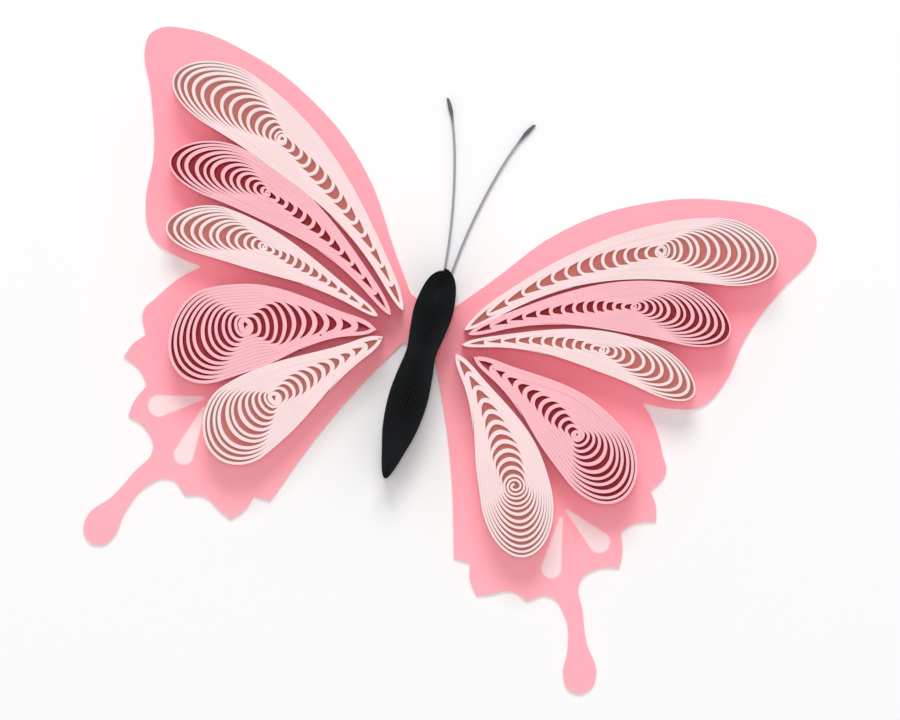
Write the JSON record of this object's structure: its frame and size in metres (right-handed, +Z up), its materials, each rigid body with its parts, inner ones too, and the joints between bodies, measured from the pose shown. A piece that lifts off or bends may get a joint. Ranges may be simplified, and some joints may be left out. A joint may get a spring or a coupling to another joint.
{
  "type": "quilled paper butterfly",
  "caption": "Flat butterfly of quilled paper: teardrop coils fanned over a cut pink card wing shape, with a tight black coil as its body and fine antennae.",
  "frame": {"origin": "on the card's back face, under the waist of the body, midway between the wings", "axes": "+X towards the right wing, +Y towards the head, +Z up from the surface that the card lies on"},
  "size_m": [0.0518, 0.0392, 0.0036],
  "materials": {
    "pink_card": "matte pink card with pale teardrop marks near the tails",
    "pale_pink_paper": "matte pale pink quilling paper",
    "mid_pink_paper": "matte mid pink quilling paper",
    "black_paper": "matte black quilling paper",
    "grey_card": "matte dark grey card"
  },
  "bodies": {
    "root": {"wing_card": "pink_card", "left_fore_top_coil": "pale_pink_paper", "left_fore_middle_coil": "mid_pink_paper", "left_fore_low_coil": "pale_pink_paper", "left_hind_outer_coil": "mid_pink_paper", "left_hind_inner_coil": "pale_pink_paper", "right_fore_top_coil": "pale_pink_paper", "right_fore_middle_coil": "mid_pink_paper", "right_fore_low_coil": "pale_pink_paper", "right_hind_outer_coil": "mid_pink_paper", "right_hind_inner_coil": "pale_pink_paper", "body_coil": "black_paper", "left_antenna": "grey_card", "right_antenna": "grey_card"}
  },
  "joints": []
}
